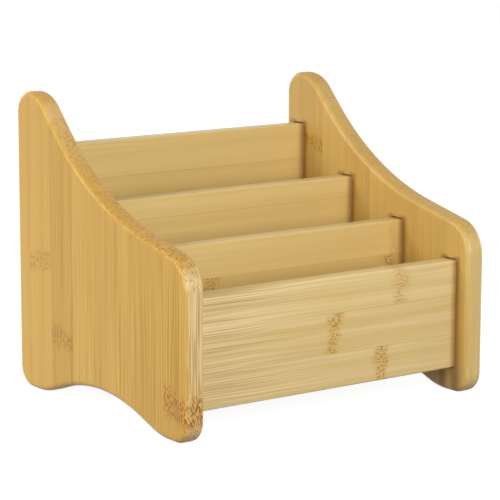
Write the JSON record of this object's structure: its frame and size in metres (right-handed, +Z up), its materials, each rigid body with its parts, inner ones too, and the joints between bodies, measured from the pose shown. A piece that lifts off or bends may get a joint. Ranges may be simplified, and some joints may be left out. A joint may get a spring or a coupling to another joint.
{
  "type": "charging station organizer",
  "caption": "Bamboo desktop organizer with stepped upright compartments between two shaped side boards, for phones and their charging leads.",
  "frame": {"origin": "on the table, under the middle of the organizer's width and depth", "axes": "+Z up, front towards -Y, +X along the cross boards to the right as seen from the front"},
  "size_m": [0.187, 0.158, 0.157],
  "materials": {
    "side_bamboo": "satin clear lacquer over laminated bamboo, grain upright",
    "board_bamboo": "satin clear lacquer over laminated bamboo, grain along the board",
    "floor_bamboo": "satin clear lacquer over laminated bamboo, grain along the board"
  },
  "bodies": {
    "root": {"left_side": "side_bamboo", "right_side": "side_bamboo", "front_panel": "board_bamboo", "middle_divider": "board_bamboo", "rear_divider": "board_bamboo", "back_panel": "board_bamboo", "floor_board": "floor_bamboo"}
  },
  "joints": []
}
